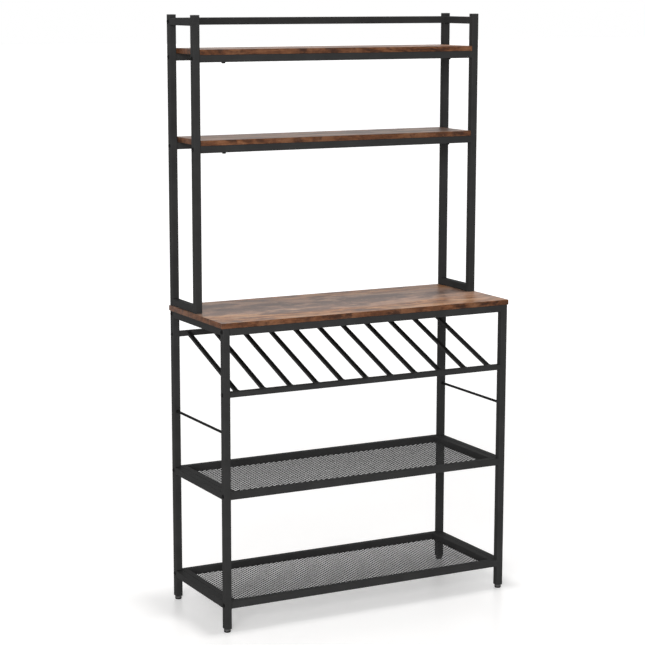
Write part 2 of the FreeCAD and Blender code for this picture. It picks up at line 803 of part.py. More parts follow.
def make_feet():
    """A screw-in levelling foot under each post: a rubber pad moulded round a stud's head."""
    head_top = "(stud_head_level + stud_head_height)"
    stud_top = f"({POST_BOTTOM} + plug_length + foot_travel + stud_spare)"
    for end, side, sign in CORNERS:
        middle = (f"{sign} * {POST_X}", f"{dict(ROWS)[end]} * {BACK_Y}", "0")

        pad_body = make_body(f"foot_pad_{end}_{side}")
        half = make_sketch(pad_body, "XZ_Plane")
        draw_outline(
            half,
            [
                ("0", "0"),
                ("pad_diameter / 2 - pad_bevel", "0"),
                ("pad_diameter / 2", "pad_bevel"),
                ("pad_diameter / 2", "pad_height"),
                ("stud_diameter / 2", "pad_height"),
                ("stud_diameter / 2", head_top),
                ("stud_head_diameter / 2", head_top),
                ("stud_head_diameter / 2", "stud_head_level"),
                ("0", "stud_head_level"),
            ],
        )
        revolve(pad_body, half)
        place(pad_body, *middle)
        keep(pad_body, f"foot_pad_{end}_{side}")

        stud = make_body(f"foot_stud_{end}_{side}")
        half = make_sketch(stud, "XZ_Plane")
        draw_outline(
            half,
            [
                ("0", "stud_head_level"),
                ("stud_head_diameter / 2", "stud_head_level"),
                ("stud_head_diameter / 2", head_top),
                ("stud_diameter / 2", head_top),
                ("stud_diameter / 2", f"{stud_top} - point_bevel"),
                ("stud_diameter / 2 - point_bevel", stud_top),
                ("0", stud_top),
            ],
        )
        revolve(stud, half)
        place(stud, *middle)
        keep(stud, f"foot_stud_{end}_{side}")


def write_parts():
    """Check every object, then write each sub-part to its own file."""
    document.recompute()
    for thing in document.Objects:
        if {"Invalid", "Error"} & set(thing.State):
            raise RuntimeError(f"{thing.Label} failed: {thing.State}")
    for part in parts:
        if part.Shape.isNull() or not part.Shape.isValid():
            raise RuntimeError(f"{part.Label} has no valid shape")
    os.makedirs("parts", exist_ok=True)
    for part in parts:
        part.Shape.exportStep(f"parts/{part.Label}.step")


make_sheet()
make_lower_posts()
make_tabletop_rails()
make_mesh_shelves()
make_bottle_rack()
make_hook_rods()
make_tabletop()
make_hutch_posts()
make_hutch_rails()
make_hutch_shelves()
make_rail_fixings()
make_hutch_fixings()
make_board_screws()
make_tube_ends()
make_feet()
write_parts()
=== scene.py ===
import json
import math
import bmesh
import bpy
from mathutils import Euler, Matrix, Vector


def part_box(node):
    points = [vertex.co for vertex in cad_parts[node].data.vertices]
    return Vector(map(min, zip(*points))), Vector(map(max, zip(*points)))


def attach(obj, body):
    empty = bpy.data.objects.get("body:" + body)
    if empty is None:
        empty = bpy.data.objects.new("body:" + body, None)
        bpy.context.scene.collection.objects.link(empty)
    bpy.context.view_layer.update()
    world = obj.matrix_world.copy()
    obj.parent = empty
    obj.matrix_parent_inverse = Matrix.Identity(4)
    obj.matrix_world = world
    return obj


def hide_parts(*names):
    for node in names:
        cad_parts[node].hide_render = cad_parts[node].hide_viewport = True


# The finished look of a bakers rack: a black powder-coated frame of square tube, rustic
# wooden boards, two shelves of expanded mesh and a sloping bottle rack.
# Metres. The front faces -Y, +X is to the right and the floor is at z = 0.

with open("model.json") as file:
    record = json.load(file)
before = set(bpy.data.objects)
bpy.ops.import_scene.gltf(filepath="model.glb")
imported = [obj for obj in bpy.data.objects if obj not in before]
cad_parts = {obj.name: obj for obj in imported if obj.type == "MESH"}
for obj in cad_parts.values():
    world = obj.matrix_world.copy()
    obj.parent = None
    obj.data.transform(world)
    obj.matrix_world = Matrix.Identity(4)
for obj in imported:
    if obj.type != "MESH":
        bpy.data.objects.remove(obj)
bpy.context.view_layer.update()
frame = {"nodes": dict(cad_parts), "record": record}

MM = 0.001
BACK = Vector((0, 1, 0))
UP, DOWN = Vector((0, 0, 1)), Vector((0, 0, -1))
RIGHT = Vector((1, 0, 0))

# Modelling
SAME_PLACE = 0.001 * MM         # two places this near are one
MERGE_GAP = 0.01 * MM           # between the ends of repeated pieces that are merged
SAME_WAY = 0.99                 # least cosine between directions that count as one
ROUGHLY_ALONG = 0.9             # the same for edges that may slope
SHARP_ANGLE = 40                # degrees, past which an edge stays sharp

# Boards
BOARD_ROUND = 1 * MM            # rounding of every edge
BAND_SHOWN = 0.8 * MM           # of the edge band, around the top and the underside

# Expanded mesh: diamonds with their long way along X
DIAMONDS_ALONG = 48
DIAMONDS_ACROSS = 26
STRAND_WIDTH = 1.6 * MM
STRAND_THICKNESS = 1.4 * MM
STRAND_TILT = math.radians(6)
STRAND_SHARP_ANGLE = 25         # degrees
KNUCKLE = 2.6 * MM              # length of the joint between two strands
OTHER_WAY = Vector((1, -1, -1))  # turns a strand's slope to the other side

# Bottle bars and rods
BAR_WIDTH = 13 * MM
BAR_END_HEIGHT = 10.6 * MM
BAR_PLACES = (0.194, 0.391, 0.593, 0.8, 1)   # shares of the way to the outermost bar
BAR_ROUND = 1.6 * MM

# Welds
WELD = 1.4 * MM                 # leg of a fillet weld, and radius of its ripples
WELD_STEP = 1.7 * MM            # from one ripple to the next
WELD_ENDS = 3 * WELD            # left bare along a rail, both ends together
WELD_WOBBLE = 0.15 * WELD       # how far the ripples wander up and down
WOBBLE_STEP = 2.1               # radians of the wander from one ripple to the next
WOBBLE_PER_DEPTH = 40           # radians per metre that set one weld's wander off from another's
WOBBLE_PER_HEIGHT = 9
SIDE_RAIL_WELDS = (
    # rail, sides of it on which a weld shows
    ("tabletop_rail", ("below",)),
    ("lower_mesh_rail", ("below", "above")),
    ("upper_mesh_rail", ("below", "above")),
    ("hutch_foot_rail", ("above",)),
    ("hutch_top_rail", ("below", "above")),
)

# Feet
PAD_ROUND = 2 * MM              # around the sole
PAD_TOP_ROUND = 0.8 * MM
PAD_SPLIT = 5.2 * MM            # height of the groove: rubber below, plastic above
PAD_GROOVE = 0.5 * MM           # depth, and half the width
PAD_GROOVE_SLOPE = 0.2 * MM     # by which the groove's floor is narrower on each side
THREAD_PITCH = 1.25 * MM
THREAD_DEPTH = 0.5 * MM
WAVE_TURN = 20                  # radians per metre of a wave texture at a scale of 1

# Bolts and screws
BOLT_HEAD_HEIGHT = 2.5 * MM
BOLT_HEAD_RADIUS = 6.25 * MM
BOLT_RADIUS = 3 * MM
BOLT_LENGTH = 36 * MM
SCREW_HEAD_HEIGHT = 4 * MM
SCREW_HEAD_RADIUS = 6 * MM
SCREW_RADIUS = 2.2 * MM
SCREW_LENGTH = 34 * MM
HEAD_ROUND = 1.9 * MM
SHANK_CHAMFER = 0.8 * MM
SHANK_IN_HEAD = 0.2 * MM        # how far a shank reaches into its head
SOCKET_RADIUS = 2.31 * MM       # over the corners of a 4 mm hexagon
SOCKET_DEPTH = 1.6 * MM         # of the hexagon and of the cross
CROSS_REACH = 2.4 * MM          # from the middle of the cross to its tips
CROSS_HALF_WIDTH = 0.5 * MM
FASTENER_SHARP_ANGLE = 30       # degrees, for the feet too
LOWER_CROSS_RAILS = (
    "lower_mesh_rail_front",
    "lower_mesh_rail_back",
    "upper_mesh_rail_front",
    "upper_mesh_rail_back",
    "tabletop_rail_front",
    "tabletop_rail_back",
    "wine_rail_front",
    "wine_rail_rear",
)
HUTCH_CROSS_RAILS = (
    "lower_shelf_rail_front",
    "lower_shelf_rail_back",
    "upper_shelf_rail_front",
    "upper_shelf_rail_back",
    "hutch_top_rail_back",
)

# Wood
WOOD_SPECULAR = 0.18
WOOD_ROUGHNESS = (0.36, 0.5)    # from the troughs of the fibres to their crests
FIBRE_CRESTS = (0.3, 0.7)       # noise values between which the roughness goes up
FIBRE_DEPTH = 0.12 * MM
GRAIN_WAVER = 0.06              # how far the grain wanders from straight
GREY_SHEEN_ZONE = (0.4, 0.5)             # broad noise values where the grey comes in, as painted sheen on the laminate
SHADE_ZONE = (0.44, 0.6)            # broad noise values where painted shade widens the dark stains
STAINED = (0.47, 0.35)          # values of Stain, lowered by the painted shade, between which the dark stain colour comes in
STAIN_STRENGTH = 0.78
TONE_PLACES = (0.0, 0.35, 0.65, 1.0)
SHOWN = {
    # pattern: the noise values between which it comes in, and its strength at each
    "Streak": (0.34, 0.66, 0.0, 1.0),
    "Patch": (0.5, 0.66, 0.0, 0.75),
    "Fleck": (0.66, 0.74, 0.0, 0.6),
    "Fibre": (0.25, 0.75, 0.8, 1.15),
    "Saw": (0.35, 0.65, 0.9, 1.07),
}

# Coats
CLOUDS = (0.3, 0.7)             # noise values between which a coat's colour and gloss drift
GLOSS_DRIFT = 0.05

# Studio
DOME = 0.42                     # strength of the light from all around
FLOOR_SIZE = 120
FLOOR_TINTS = ((0.84, 0.831, 0.823), (0.86, 0.851, 0.843))
GLOW_PLACES = (2.0, 6.0)        # distances from the rack between which the floor's glow grows
GLOW = (0.285, 0.6)             # as the camera sees it, at those distances
CAMERA_PLACE = (-2.859757, -5.316169, 1.914411)
CAMERA_DOWN = 10.174            # degrees below level
CAMERA_RIGHT = 27.855           # degrees to the right of straight on
CAMERA_ROLL = 0.091             # degrees
CAMERA_SENSOR = 36              # millimetres
CAMERA_LENS = 108.638           # millimetres
CAMERA_SHIFT = (-0.005681, 0.025885)
CAMERA_REACH = 200


# ---------------------------------------------------------------- modelling tools


def activate(*things):
    """Select just these objects and make the first one active."""
    bpy.ops.object.select_all(action="DESELECT")
    for thing in things:
        thing.select_set(True)
    bpy.context.view_layer.objects.active = things[0]


def settle(name):
    """Name the object just added and put its place into its mesh."""
    piece = bpy.context.object
    activate(piece)
    bpy.ops.object.transform_apply(location=True, rotation=True, scale=True)
    piece.name = name
    piece.data.name = name
    return piece


def add_block(name, low, high):
    """A block between two corners."""
    bpy.ops.object.select_all(action="DESELECT")
    middle = (low + high) / 2
    bpy.ops.mesh.primitive_cube_add(size=1, location=middle, scale=high - low)
    return settle(name)


def add_round(name, radius, start, end, sides):
    """A round bar from one point to another."""
    run = end - start
    bpy.ops.object.select_all(action="DESELECT")
    bpy.ops.mesh.primitive_cylinder_add(
        vertices=sides,
        radius=radius,
        depth=run.length,
        location=(start + end) / 2,
        rotation=run.to_track_quat("Z", "Y").to_euler(),
    )
    return settle(name)


def edit(piece):
    """Open a piece in edit mode with nothing selected."""
    activate(piece)
    bpy.ops.object.mode_set(mode="EDIT")
    bpy.ops.mesh.select_all(action="DESELECT")


def close(piece, angle=SHARP_ANGLE):
    """Leave edit mode, with edges past the angle left sharp."""
    bpy.ops.object.mode_set(mode="OBJECT")
    activate(piece)
    bpy.ops.object.shade_smooth_by_angle(angle=math.radians(angle))


def pick(piece, kind, test):
    """In edit mode, select just the faces, edges or vertices that pass a test."""
    bpy.ops.mesh.select_mode(type=kind)
    bpy.ops.mesh.select_all(action="DESELECT")
    mesh = bmesh.from_edit_mesh(piece.data)
    for element in {"FACE": mesh.faces, "EDGE": mesh.edges, "VERT": mesh.verts}[kind]:
        if test(element):
            element.select_set(True)
    bmesh.update_edit_mesh(piece.data)


def facing(direction):
    """A test for faces that look along a direction."""
    return lambda face: face.normal.dot(direction) > SAME_WAY


def square_to(direction):
    """A test for faces that look along a direction or against it."""
    return lambda face: abs(face.normal.dot(direction)) > SAME_WAY


def running(direction):
    """A test for edges that run roughly along a direction."""
    return lambda edge: abs(
        (edge.verts[1].co - edge.verts[0].co).normalized().dot(direction)
    ) > ROUGHLY_ALONG


def at_end(direction, place):
    """A test for vertices in the plane at a place along a direction."""
    return lambda vert: abs(vert.co.dot(direction) - place) < SAME_PLACE


def rim(direction, place):
    """A test for edges that lie in the plane at a place along a direction."""
    inside = at_end(direction, place)
    return lambda edge: all(inside(vert) for vert in edge.verts)


def bevel(width, segments=3):
    """Round the edges that are selected, or chamfer them with one segment."""
    bpy.ops.mesh.bevel(offset=width, segments=segments, profile=0.5, affect="EDGES")


def cut(place, direction):
    """Bisect the whole piece that is open in edit mode."""
    bpy.ops.mesh.select_all(action="SELECT")
    bpy.ops.mesh.bisect(plane_co=place, plane_no=direction)


def apply_modifiers(piece):
    """Turn a piece's modifiers into its mesh."""
    activate(piece)
    for modifier in list(piece.modifiers):
        bpy.ops.object.modifier_apply(modifier=modifier.name)


def repeat(piece, count, step):
    """Repeat a piece along a step, its touching ends merged."""
    array = piece.modifiers.new("repeat", "ARRAY")
    array.count = count
    array.use_relative_offset = False
    array.use_constant_offset = True
    array.constant_offset_displace = step
    array.use_merge_vertices = True
    array.merge_threshold = MERGE_GAP
    apply_modifiers(piece)


def carve(piece, tool):
    """Take the shape of a tool out of a piece."""
    hollow = piece.modifiers.new("hollow", "BOOLEAN")
    hollow.operation = "DIFFERENCE"
    hollow.object = tool
    apply_modifiers(piece)
    bpy.data.objects.remove(tool)


def copy_of(piece, turn):
    """A copy with its own mesh, turned and moved in the mesh."""
    twin = piece.copy()
    twin.data = piece.data.copy()
    bpy.context.collection.objects.link(twin)
    twin.data.transform(turn)
    return twin


def join(name, pieces):
    """Make several pieces one object."""
    activate(*pieces)
    bpy.ops.object.join()
    joined = bpy.context.object
    joined.name = name
    joined.data.name = name
    return joined


def copies(name, piece, turns):
    """Copies of a piece at each turn, joined into one object. The piece itself goes."""
    twins = [copy_of(piece, turn) for turn in turns]
    bpy.data.objects.remove(piece)
    return join(name, twins)


def finish_piece(piece, body, slot, materials, *nodes):
    """Give a piece its materials and body, and hide the nodes that it stands for. The slot is not
    used.
    """
    piece.data.materials.clear()
    for material in materials:
        piece.data.materials.append(material)
    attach(piece, body)
    if nodes:
        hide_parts(*nodes)


def paint(piece, test):
    """Give the faces that pass a test the piece's second material, and the rest its first."""
    for face in piece.data.polygons:
        face.material_index = 1 if test(face) else 0


# ---------------------------------------------------------------- material tools


def new_material(name, metallic=0.0, specular=0.5):
    """A material, with its node tree and its Principled shader."""
    material = bpy.data.materials.new(name)
    material.use_nodes = True
    tree = material.node_tree
    shader = tree.nodes["Principled BSDF"]
    shader.inputs["Metallic"].default_value = metallic
    shader.inputs["Specular IOR Level"].default_value = specular
    return material, tree, shader


def feed(tree, socket, source):
    """Link a source to a socket, or set the socket to a plain value or colour."""
    if isinstance(source, bpy.types.NodeSocket):
        tree.links.new(source, socket)
    elif socket.type == "RGBA":
        socket.default_value = (*source, 1)
    else:
        socket.default_value = source


def object_place(tree):
    """The place on the object, in metres."""
    return tree.nodes.new("ShaderNodeTexCoord").outputs["Object"]


def mapped(tree, vector, scale=(1, 1, 1), location=(0, 0, 0)):
    """A vector that is scaled and then moved."""
    node = tree.nodes.new("ShaderNodeMapping")
    feed(tree, node.inputs["Vector"], vector)
    feed(tree, node.inputs["Scale"], scale)
    feed(tree, node.inputs["Location"], location)
    return node.outputs["Vector"]


def noise(tree, vector, scale, detail=3.0, roughness=0.5):
    """The outputs of a noise texture."""
    node = tree.nodes.new("ShaderNodeTexNoise")
    feed(tree, node.inputs["Vector"], vector)
    feed(tree, node.inputs["Scale"], scale)
    feed(tree, node.inputs["Detail"], detail)
    feed(tree, node.inputs["Roughness"], roughness)
    return node.outputs


def stretch(tree, value, low, high, to_low=0.0, to_high=1.0):
    """The part of a value between low and high, stretched to a new range."""
    node = tree.nodes.new("ShaderNodeMapRange")
    feed(tree, node.inputs["Value"], value)
    feed(tree, node.inputs["From Min"], low)
    feed(tree, node.inputs["From Max"], high)
    feed(tree, node.inputs["To Min"], to_low)
    feed(tree, node.inputs["To Max"], to_high)
    return node.outputs["Result"]


def math_of(tree, operation, first, second):
    """Two values worked into one."""
    node = tree.nodes.new("ShaderNodeMath")
    node.operation = operation
    feed(tree, node.inputs[0], first)
    feed(tree, node.inputs[1], second)
    return node.outputs["Value"]


def ramp(tree, value, *stops):
    """A colour ramp through (place, colour) stops."""
    node = tree.nodes.new("ShaderNodeValToRGB")
    elements = node.color_ramp.elements
    while len(elements) < len(stops):
        elements.new(0.5)
    for element, (position, colour) in zip(elements, stops):
        element.position = position
        element.color = (*colour, 1)
    feed(tree, node.inputs["Fac"], value)
    return node.outputs["Color"]


def mix(tree, factor, first, second, blend="MIX"):
    """Two colours blended by a factor."""
    node = tree.nodes.new("ShaderNodeMix")
    node.data_type = "RGBA"
    node.blend_type = blend
    feed(tree, node.inputs["Factor"], factor)
    colours = [socket for socket in node.inputs if socket.type == "RGBA"]
    feed(tree, colours[0], first)
    feed(tree, colours[1], second)
    return next(socket for socket in node.outputs if socket.type == "RGBA")


def add_bump(tree, shader, height, distance, strength=1.0):
    """Bumps on a shader's surface, a distance high where the height goes from 0 to 1."""
    node = tree.nodes.new("ShaderNodeBump")
    feed(tree, node.inputs["Height"], height)
    feed(tree, node.inputs["Distance"], distance)
    feed(tree, node.inputs["Strength"], strength)
    feed(tree, shader.inputs["Normal"], node.outputs["Normal"])


def new_group(name, outputs):
    """A node group that takes a vector and gives named values."""
    tree = bpy.data.node_groups.new(name, "ShaderNodeTree")
    tree.interface.new_socket("Vector", in_out="INPUT", socket_type="NodeSocketVector")
    for output in outputs:
        tree.interface.new_socket(output, in_out="OUTPUT", socket_type="NodeSocketFloat")
    vector = tree.nodes.new("NodeGroupInput").outputs["Vector"]
    return tree, vector, tree.nodes.new("NodeGroupOutput").inputs


def place_group(tree, group, vector):
    """A group placed in a material, and its outputs."""
    node = tree.nodes.new("ShaderNodeGroup")
    node.node_tree = group
    feed(tree, node.inputs["Vector"], vector)
    return node.outputs


# ---------------------------------------------------------------- materials


def make_grain_group():
    """Rustic wood along X: dark stains, pale patches, streaks, flecks, fibres and saw marks, and
    broad zones that place a painted sheen and painted shade.
    """
    tree, place, out = new_group(
        "rustic_grain", ("BroadZones", "Stain", "Patch", "Streak", "Fleck", "Fibre", "Saw")
    )
    drift = noise(tree, mapped(tree, place, (3, 7, 7)), 1.8)
    offset = tree.nodes.new("ShaderNodeVectorMath")
    offset.operation = "MULTIPLY_ADD"
    feed(tree, offset.inputs[0], drift["Color"])
    feed(tree, offset.inputs[1], (GRAIN_WAVER,) * 3)
    feed(tree, offset.inputs[2], place)
    wavy = offset.outputs["Vector"]
    for output, shape, shift, scale, detail, roughness in (
        ("BroadZones", (0.5, 2.6, 2.6), (8.23, 2.96, 0), 2.0, 2.0, 0.5),
        ("Stain", (1, 2.1, 2.1), (0, 0, 0), 9.0, 5.0, 0.6),
        ("Patch", (1, 2.6, 2.6), (7, 2, 0), 5.5, 4.0, 0.55),
        ("Streak", (1, 5, 5), (3, 1, 0), 12.0, 6.0, 0.62),
        ("Fleck", (1, 2.4, 2.4), (1, 4, 6), 34.0, 2.0, 0.5),
        ("Fibre", (1, 28, 28), (0, 5, 1), 26.0, 4.0, 0.65),
        ("Saw", (24, 1.6, 1.6), (1, 0, 2), 9.0, 3.0, 0.6),
    ):
        pattern = noise(tree, mapped(tree, wavy, shape, shift), scale, detail, roughness)
        feed(tree, out[output], pattern["Fac"])
    return tree


def make_peel_group():
    """The fine orange peel of a powder coat, and broad clouds in its gloss."""
    tree, place, out = new_group("orange_peel", ("Height", "Cloud"))
    feed(tree, out["Height"], noise(tree, place, 900.0, 2.0)["Fac"])
    feed(tree, out["Cloud"], noise(tree, place, 14.0, 4.0, 0.6)["Fac"])
    return tree


def make_wood(name, group, tones, smoke_and_shade, pale, grey, grey_and_shade, shape=(1, 1, 1), location=(0, 0, 0)):
    """Rustic wood under a matt coat: brown streaks, pale patches and dark stains.

    The last pair: how grey the broad zones turn, and how much painted shade darkens their
    middles.
    """
    grey_sheen_strength, shade_strength = grey_and_shade
    material, tree, shader = new_material(name, specular=WOOD_SPECULAR)
    grain = place_group(tree, group, mapped(tree, object_place(tree), shape, location))
    shown = {pattern: stretch(tree, grain[pattern], *span) for pattern, span in SHOWN.items()}
    streaks = ramp(tree, shown["Streak"], *zip(TONE_PLACES, tones))
    patchy = mix(tree, shown["Patch"], streaks, pale)
    # On the laminate the grey of the broad zones is a painted sheen; on the edge band a plain
    # grey tone.
    grey_sheen_mask = stretch(tree, grain["BroadZones"], *GREY_SHEEN_ZONE, 0.0, grey_sheen_strength)
    greyed_and_sheened = mix(tree, grey_sheen_mask, patchy, grey)
    # Painted shade: in the middles of the broad zones the dark stains spread wider.
    shade_spread = stretch(tree, grain["BroadZones"], *SHADE_ZONE, 0.0, shade_strength)
    shaded_stain = math_of(tree, "SUBTRACT", grain["Stain"], shade_spread)
    stain_mask_with_shade = stretch(tree, shaded_stain, *STAINED, 0.0, STAIN_STRENGTH)
    smoked_and_shaded = mix(tree, stain_mask_with_shade, greyed_and_sheened, smoke_and_shade)
    flecked = mix(tree, shown["Fleck"], smoked_and_shaded, pale)
    grained = mix(tree, 1.0, flecked, shown["Fibre"], "MULTIPLY")
    sawn = mix(tree, 1.0, grained, shown["Saw"], "MULTIPLY")
    feed(tree, shader.inputs["Base Color"], sawn)
    rough = stretch(tree, grain["Fibre"], *FIBRE_CRESTS, *WOOD_ROUGHNESS)
    feed(tree, shader.inputs["Roughness"], rough)
    add_bump(tree, shader, grain["Fibre"], FIBRE_DEPTH, 0.5)
    return material


def make_coat(name, group, dark, pale, roughness, depth, metallic=0.0, specular=0.5):
    """A finish with a fine peel, and a colour and gloss that drift a little."""
    material, tree, shader = new_material(name, metallic, specular)
    peel = place_group(tree, group, object_place(tree))
    cloud = stretch(tree, peel["Cloud"], *CLOUDS)
    feed(tree, shader.inputs["Base Color"], ramp(tree, cloud, (0.0, dark), (1.0, pale)))
    gloss = (roughness - GLOSS_DRIFT, roughness + GLOSS_DRIFT)
    feed(tree, shader.inputs["Roughness"], stretch(tree, peel["Cloud"], *CLOUDS, *gloss))
    add_bump(tree, shader, peel["Height"], depth, 0.5)
    return material


def make_thread(name, group):
    """Zinc plate with the ridges of a screw thread around Z."""
    material = make_coat(name, group, (0.42, 0.42, 0.44), (0.6, 0.6, 0.62), 0.32, 0.02 * MM, 1.0)
    tree = material.node_tree
    ridges = tree.nodes.new("ShaderNodeTexWave")
    ridges.bands_direction = "Z"
    feed(tree, ridges.inputs["Vector"], object_place(tree))
    feed(tree, ridges.inputs["Scale"], 2 * math.pi / THREAD_PITCH / WAVE_TURN)
    add_bump(tree, tree.nodes["Principled BSDF"], ridges.outputs["Fac"], THREAD_DEPTH)
    return material


grain_group = make_grain_group()
peel_group = make_peel_group()

laminate = make_wood(
    "rustic_laminate",
    grain_group,
    ((0.1, 0.04, 0.018), (0.23, 0.1, 0.043), (0.4, 0.185, 0.082), (0.53, 0.27, 0.128)),
    smoke_and_shade=(0.09, 0.057, 0.047),
    pale=(0.56, 0.335, 0.195),
    # The grey is a painted sheen, and the last pair adds painted shade across the worktop's
    # middle.
    grey=(0.38, 0.25, 0.195),
    grey_and_shade=(0.6, 0.15),
)
edge_band = make_wood(
    "rustic_edge_band",
    grain_group,
    ((0.027, 0.009, 0.004), (0.076, 0.027, 0.01), (0.14, 0.053, 0.022), (0.207, 0.086, 0.038)),
    smoke_and_shade=(0.02, 0.008, 0.0054),
    pale=(0.234, 0.108, 0.054),
    grey=(0.1125, 0.045, 0.0216),
    grey_and_shade=(0.4, 0.0),
    shape=(2, 1.4, 1.4),
    location=(2.3, 0.6, 0.4),
)
powder_coat = make_coat(
    "black_powder_coat", peel_group, (0.027,) * 3, (0.035,) * 3, 0.6, 0.03 * MM, specular=0.025
)
# Painted shade: a near black copy of the powder coat for bar tops, hook rods and welds.
painted_shade_coat = make_coat(
    "painted_shade_coat", peel_group, (0.004,) * 3, (0.007,) * 3, 0.65, 0.03 * MM, specular=0.08
)
black_oxide = make_coat(
    "black_oxide", peel_group, (0.002,) * 3, (0.004,) * 3, 0.5, 0.01 * MM, specular=0.06
)
black_plastic = make_coat("black_plastic", peel_group, (0.012,) * 3, (0.018,) * 3, 0.5, 0.02 * MM)
grey_plastic = make_coat("grey_plastic", peel_group, (0.04,) * 3, (0.055,) * 3, 0.5, 0.02 * MM)
black_rubber = make_coat(
    "black_rubber", peel_group, (0.006,) * 3, (0.01,) * 3, 0.7, 0.04 * MM, specular=0.3
)
block_steel = make_coat("block_steel", peel_group, (0.02,) * 3, (0.04,) * 3, 0.5, 0.05 * MM)
zinc_thread = make_thread("zinc_thread", peel_group)

FINISHES = {
    "frame_steel": powder_coat,
    "mesh_steel": powder_coat,
    "wood_boards": laminate,
    "foot_rubber": black_rubber,
    "end_plastic": black_plastic,
    "black_fasteners": black_oxide,
    "zinc_steel": zinc_thread,
    "block_steel": block_steel,
}


# ---------------------------------------------------------------- pieces


def finish_cad_nodes():
    """Give every CAD node the finish of its slot."""
    for part in frame["record"]["subparts"]:
        node = frame["nodes"][part["node"]]
        for slot in node.material_slots:
            slot.material = FINISHES[part["material_slot"]]


def make_board(name, node):
    """A board with rounded edges and a thin line of edge band around its faces."""
    low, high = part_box(node)
    board = add_block(name, low, high)
    edit(board)
    bpy.ops.mesh.select_all(action="SELECT")
    bevel(BOARD_ROUND)
    pick(board, "FACE", square_to(UP))
    bpy.ops.mesh.inset(thickness=BAND_SHOWN, depth=0)
    close(board)
    finish_piece(board, "rack", "wood_boards", (laminate, edge_band), node)
    half_the_top = 0.5 * (high.x - low.x) * (high.y - low.y)
    paint(board, lambda face: face.area <= half_the_top)


def make_strand(name, start, slope):
    """One zigzag strand over one diamond, pushed out step by step from a short stub."""
    size = Vector((KNUCKLE / 2, STRAND_WIDTH, STRAND_THICKNESS))
    strand = add_block(name, -size / 2, size / 2)
    edit(strand)
    bpy.ops.mesh.select_all(action="SELECT")
    bpy.ops.transform.rotate(value=-STRAND_TILT, orient_axis="X", center_override=(0, 0, 0))
    bpy.ops.transform.translate(value=start + Vector((KNUCKLE / 4, 0, 0)))
    level = KNUCKLE * RIGHT
    for step in (slope, level, slope * OTHER_WAY, level / 2):
        mesh = bmesh.from_edit_mesh(strand.data)
        tip = max(vert.co.x for vert in mesh.verts)
        pick(strand, "FACE", lambda face: face.calc_center_median().x > tip - SAME_PLACE)
        bpy.ops.mesh.extrude_region_move(TRANSFORM_OT_translate={"value": step})
    pick(strand, "FACE", square_to(RIGHT))
    bpy.ops.mesh.delete(type="ONLY_FACE")
    bpy.ops.object.mode_set(mode="OBJECT")
    return strand


def make_mesh_panel(name, node):
    """Expanded mesh: strands that touch at knuckles, pressed a little out of the plane."""
    low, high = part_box(node)
    long_way = (high.x - low.x) / DIAMONDS_ALONG
    short_way = (high.y - low.y) / DIAMONDS_ACROSS
    width = STRAND_WIDTH * math.cos(STRAND_TILT)
    lift = STRAND_WIDTH * math.sin(STRAND_TILT)
    corner = Vector((low.x, low.y, (low.z + high.z) / 2))
    slope = Vector((long_way / 2 - KNUCKLE, short_way / 2 - width, -lift))
    near = corner + Vector((0, width / 2, lift / 2))
    far = corner + Vector((0, short_way - width / 2, -lift / 2))
    strands = make_strand(name, near, slope), make_strand(name, far, slope * OTHER_WAY)
    panel = join(name, strands)
    repeat(panel, DIAMONDS_ALONG, long_way * RIGHT)
    repeat(panel, DIAMONDS_ACROSS, short_way * BACK)
    edit(panel)
    pick(panel, "EDGE", lambda edge: edge.is_boundary)
    bpy.ops.mesh.fill_holes(sides=4)
    close(panel, STRAND_SHARP_ANGLE)
    finish_piece(panel, "rack", "mesh_steel", (powder_coat,), node)


def make_bottle_bars():
    """Sloping bars with rounded corners and a fillet weld at each end."""
    low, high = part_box("wine_bars")
    rise = Vector((0, 0, high.z - low.z - BAR_END_HEIGHT))
    half = Vector((BAR_WIDTH / 2, 0, 0))
    bar = add_block(
        "bar",
        Vector((0, low.y, low.z)) - half,
        Vector((0, high.y, low.z + BAR_END_HEIGHT)) + half,
    )
    edit(bar)
    pick(bar, "FACE", facing(BACK))
    bpy.ops.transform.translate(value=rise)
    pick(bar, "EDGE", running(BACK))
    bevel(BAR_ROUND)
    middle = BAR_END_HEIGHT / 2
    for end, inwards, level in (
        (low.y, WELD, low.z + middle),
        (high.y, -WELD, high.z - middle),
    ):
        cut((0, end + inwards, 0), BACK)
        pick(bar, "VERT", at_end(BACK, end))
        bpy.ops.transform.resize(
            value=(1 + 2 * WELD / BAR_WIDTH, 1, 1 + 2 * WELD / BAR_END_HEIGHT),
            center_override=(0, end, level),
        )
    close(bar)
    outermost = high.x - BAR_WIDTH / 2
    places = [0] + [sign * share * outermost for share in BAR_PLACES for sign in (-1, 1)]
    bars = copies("bottle_bars", bar, [Matrix.Translation((x, 0, 0)) for x in sorted(places)])
    finish_piece(bars, "rack", "frame_steel", (powder_coat, painted_shade_coat), "wine_bars")
    # Painted shade: the tops of the bars, under the worktop, get the near black coat.
    paint(bars, lambda face: face.normal.z > 0.5)


def make_hook_rod(side):
    """A round rod between two posts, with a fillet weld at each end."""
    low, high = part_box(f"hook_rod_{side}")
    middle = (low + high) / 2
    radius = (high.z - low.z) / 2
    start = Vector((middle.x, low.y, middle.z))
    end = Vector((middle.x, high.y, middle.z))
    rod = add_round(f"hook_rod_round_{side}", radius, start, end, sides=32)
    edit(rod)
    for place, inwards in ((start, WELD), (end, -WELD)):
        cut(place + inwards * BACK, BACK)
        pick(rod, "VERT", at_end(BACK, place.y))
        spread = 1 + WELD / radius
        bpy.ops.transform.resize(value=(spread, 1, spread), center_override=place)
    close(rod)
    # Painted shade: the rod gets the near black copy of the frame's coat.
    finish_piece(rod, "rack", "frame_steel", (painted_shade_coat,), f"hook_rod_{side}")


